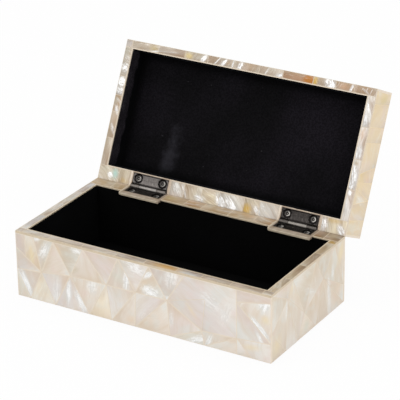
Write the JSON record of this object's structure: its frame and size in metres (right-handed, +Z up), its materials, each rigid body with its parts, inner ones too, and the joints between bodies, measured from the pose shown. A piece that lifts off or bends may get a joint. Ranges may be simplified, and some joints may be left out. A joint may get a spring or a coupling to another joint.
{
  "type": "hinged box",
  "caption": "Rectangular trinket box covered in triangular mother-of-pearl mosaic, with a shallow lid hinged at the rear, lined in black velvet and standing open.",
  "frame": {"origin": "centre of the underside of the base", "axes": "+X along the length, to the right seen from the front; +Y from the front to the hinges; +Z up"},
  "size_m": [0.203, 0.1712, 0.1432],
  "materials": {
    "shell": "polished mother-of-pearl, pearly white with cream, pink and green tints",
    "rim_shell": "polished mother-of-pearl strips, cream to grey, a few amber",
    "resin": "cream resin, polished flush with the shell",
    "board": "plain board",
    "velvet": "black velvet",
    "felt": "black felt",
    "bone": "bone-coloured resin, semi-matt",
    "hinge": "dark antiqued steel, worn bright on the edges",
    "screw": "dark antiqued steel, worn bright round the slot"
  },
  "bodies": {
    "base": {"base_back_board": "board", "base_back_lining": "velvet", "base_back_resin": "resin", "base_back_shell": "shell", "base_felt": "felt", "base_floor_board": "board", "base_front_board": "board", "base_front_lining": "velvet", "base_front_resin": "resin", "base_front_shell": "shell", "base_hinge_block_left": "bone", "base_hinge_block_right": "bone", "base_leaf_screws_left": "screw", "base_leaf_screws_right": "screw", "base_left_board": "board", "base_left_lining": "velvet", "base_left_resin": "resin", "base_left_shell": "shell", "base_lining_pad": "velvet", "base_right_board": "board", "base_right_lining": "velvet", "base_right_resin": "resin", "base_right_shell": "shell", "base_rim_resin": "resin", "base_rim_shell": "rim_shell", "hinge_base_leaf_left": "hinge", "hinge_base_leaf_right": "hinge", "hinge_pin_left": "hinge", "hinge_pin_right": "hinge"},
    "lid": {"hinge_lid_leaf_left": "hinge", "hinge_lid_leaf_right": "hinge", "lid_back_board": "board", "lid_back_lining": "velvet", "lid_back_resin": "resin", "lid_back_shell": "shell", "lid_front_board": "board", "lid_front_lining": "velvet", "lid_front_resin": "resin", "lid_front_shell": "shell", "lid_hinge_block_left": "bone", "lid_hinge_block_right": "bone", "lid_leaf_screws_left": "screw", "lid_leaf_screws_right": "screw", "lid_left_board": "board", "lid_left_lining": "velvet", "lid_left_resin": "resin", "lid_left_shell": "shell", "lid_lining_pad": "velvet", "lid_right_board": "board", "lid_right_lining": "velvet", "lid_right_resin": "resin", "lid_right_shell": "shell", "lid_rim_resin": "resin", "lid_rim_shell": "rim_shell", "lid_top_board": "board", "lid_top_resin": "resin", "lid_top_shell": "shell"}
  },
  "joints": [
    {"name": "lid_hinge", "type": "hinge", "parent": "base", "child": "lid", "pos_m": [0, 0.05135, 0.05065], "axis": [-1, 0, 0], "range_deg": [-116, 0]}
  ]
}
